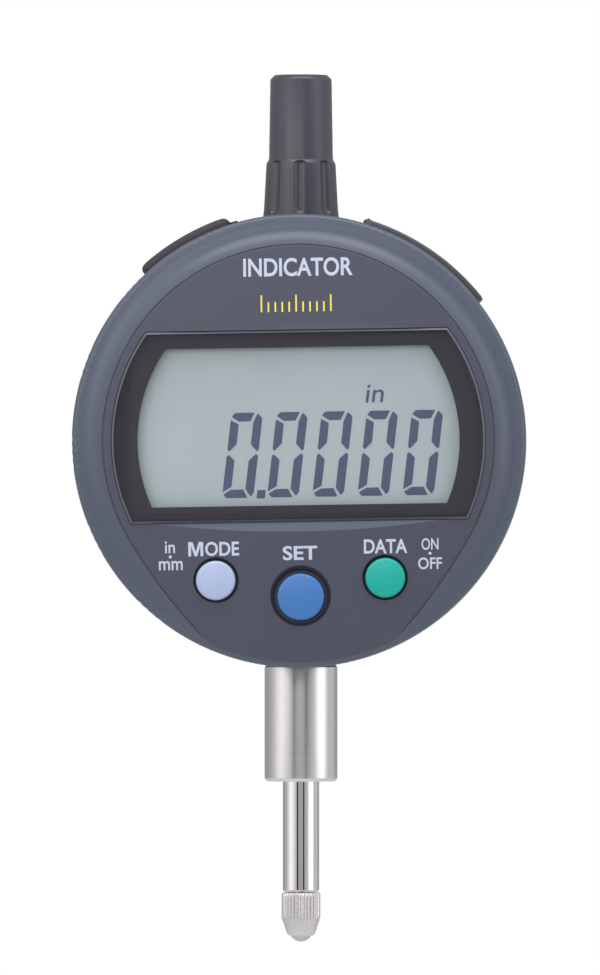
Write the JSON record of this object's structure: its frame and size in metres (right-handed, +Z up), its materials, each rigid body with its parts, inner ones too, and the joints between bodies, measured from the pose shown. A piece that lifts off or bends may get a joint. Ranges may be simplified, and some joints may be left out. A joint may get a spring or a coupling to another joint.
{
  "type": "digital dial indicator",
  "caption": "Plunger indicator with a turning round digital display, push buttons, a sprung spindle with a ball contact point, a clamping stem, a lug back and a spindle cap.",
  "frame": {"origin": "centre of the mounting stem's lower end face, on the spindle axis", "axes": "+Z up along the spindle axis, away from the contact point; the display faces -Y; +X is to the right as the face is read"},
  "size_m": [0.059, 0.039, 0.1133],
  "materials": {
    "bezel_plastic": "fine spark-textured blue-grey moulding",
    "case_paint": "dark grey baked enamel on die-cast metal",
    "back_plate_paint": "dark grey enamel, fine texture",
    "cover_glass": "clear acrylic window",
    "mask_black": "black print on the back of the window",
    "lcd_glass": "grey-green reflective liquid crystal cell",
    "frame_plastic": "black moulding",
    "board_green": "green circuit board",
    "chip_black": "epoxy chip packages",
    "plated_contact": "gold-plated contact metal",
    "nickel_can": "nickel-plated steel",
    "steel_ground": "ground satin steel",
    "steel_hard": "polished hardened steel",
    "steel_screw": "machine screws, zinc plated",
    "carbide": "polished tungsten carbide",
    "bush_brass": "bearing brass",
    "rubber_dark": "moulded dark rubber",
    "button_white": "pale blue-white button",
    "button_blue": "blue button",
    "button_green": "green button",
    "cap_plastic": "dark grey moulded cap",
    "cover_plastic": "dark grey moulded cover",
    "flex_film": "amber polyimide film",
    "scale_glass": "glass encoder scale with electrode pattern",
    "zebra_rubber": "striped conductive elastomer"
  },
  "bodies": {
    "case": {"case_shell": "case_paint", "back_plate": "back_plate_paint", "back_screws": "steel_screw", "back_gasket": "rubber_dark", "stem": "steel_ground", "stem_nut": "steel_screw", "stem_wiper": "rubber_dark", "lower_bush": "bush_brass", "upper_bush": "bush_brass", "bumper_ring": "rubber_dark", "nipple": "steel_ground", "guide_rail": "frame_plastic", "guide_rail_screws": "steel_screw", "spring_post": "steel_hard", "sensor_board": "board_green", "sensor_board_screws": "steel_screw", "sensor_chips": "chip_black", "detector_grid": "plated_contact", "battery_tray": "frame_plastic", "battery": "nickel_can", "battery_contact_plus": "plated_contact", "battery_contact_minus": "plated_contact", "data_connector": "chip_black", "connector_pins": "plated_contact", "retainer_ring": "steel_screw", "turning_seal": "rubber_dark", "stop_pin": "steel_hard", "flex_cable": "flex_film", "return_spring": "steel_hard"},
    "display_unit": {"bezel": "bezel_plastic", "window": "cover_glass", "window_mask": "mask_black", "lcd_panel": "lcd_glass", "lcd_frame": "frame_plastic", "zebra_strips": "zebra_rubber", "main_board": "board_green", "board_chips": "chip_black", "crystal": "nickel_can", "dome_switches": "nickel_can", "flex_socket": "chip_black", "display_cover": "frame_plastic", "display_screws": "steel_screw"},
    "spindle": {"spindle_rod": "steel_hard", "scale_bracket": "steel_screw", "bracket_screws": "steel_screw", "encoder_scale": "scale_glass", "guide_pin": "steel_hard", "contact_point": "steel_ground", "contact_ball": "carbide"},
    "mode_button": {"mode_button": "button_white"},
    "set_button": {"set_button": "button_blue"},
    "data_button": {"data_button": "button_green"},
    "cap": {"spindle_cap": "cap_plastic"},
    "connector_cover": {"connector_cover": "rubber_dark"},
    "battery_cover": {"battery_cover": "cover_plastic", "battery_cover_seal": "rubber_dark", "battery_cover_screw": "steel_screw"}
  },
  "joints": [
    {"name": "display_turn", "type": "hinge", "parent": "case", "child": "display_unit", "pos_m": [0, 0, 0.0444], "axis": [0, -1, 0], "range_deg": [-165, 165]},
    {"name": "spindle_slide", "type": "slide", "parent": "case", "child": "spindle", "axis": [0, 0, 1], "range_m": [0, 0.0127], "stiffness_N_per_m": 40, "springref_m": -0.02, "deforming": ["return_spring"]},
    {"name": "mode_press", "type": "slide", "parent": "display_unit", "child": "mode_button", "axis": [0, 1, 0], "range_m": [0, 0.0005], "stiffness_N_per_m": 500, "springref_m": -0.001},
    {"name": "set_press", "type": "slide", "parent": "display_unit", "child": "set_button", "axis": [0, 1, 0], "range_m": [0, 0.0005], "stiffness_N_per_m": 500, "springref_m": -0.001},
    {"name": "data_press", "type": "slide", "parent": "display_unit", "child": "data_button", "axis": [0, 1, 0], "range_m": [0, 0.0005], "stiffness_N_per_m": 500, "springref_m": -0.001},
    {"name": "cap_lift", "type": "slide", "parent": "case", "child": "cap", "axis": [0, 0, 1], "range_m": [0, 0.02]},
    {"name": "connector_cover_pull", "type": "slide", "parent": "case", "child": "connector_cover", "axis": [-0.5075, 0, 0.8616], "range_m": [0, 0.006]},
    {"name": "battery_cover_pull", "type": "slide", "parent": "case", "child": "battery_cover", "axis": [0.5592, 0, 0.829], "range_m": [0, 0.008]}
  ]
}
